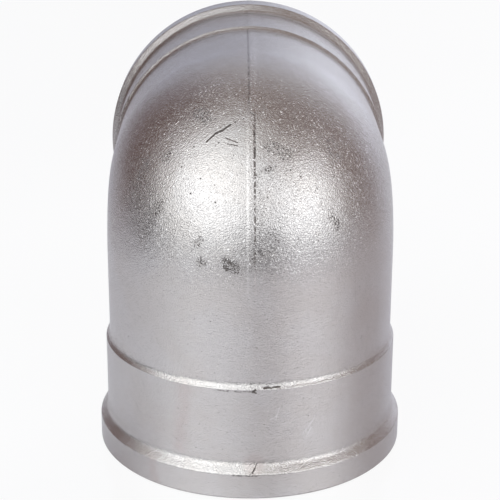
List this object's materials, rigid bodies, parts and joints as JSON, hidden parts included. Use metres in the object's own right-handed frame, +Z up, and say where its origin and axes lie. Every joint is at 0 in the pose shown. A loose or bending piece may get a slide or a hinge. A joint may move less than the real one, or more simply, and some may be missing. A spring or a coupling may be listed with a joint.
{
  "type": "female threaded pipe elbow",
  "caption": "Short 90 degree pipe elbow in plated forged brass, with a female pipe thread, a collar and a raised end bead at each end, and a round heel.",
  "frame": {"origin": "centre of the lower end's face, on the lower leg's centre line", "axes": "+Z up the lower leg, from its end face to the crossing of the two centre lines; +Y out along the upper leg, through its end face; X across the elbow, which is the same on both sides"},
  "size_m": [0.067, 0.0878, 0.0878],
  "materials": {
    "nickel_plated_brass": "shot-blasted forging with a satin nickel plate, fine grained, with a faint parting line"
  },
  "bodies": {
    "root": {"elbow": "nickel_plated_brass"}
  },
  "joints": []
}
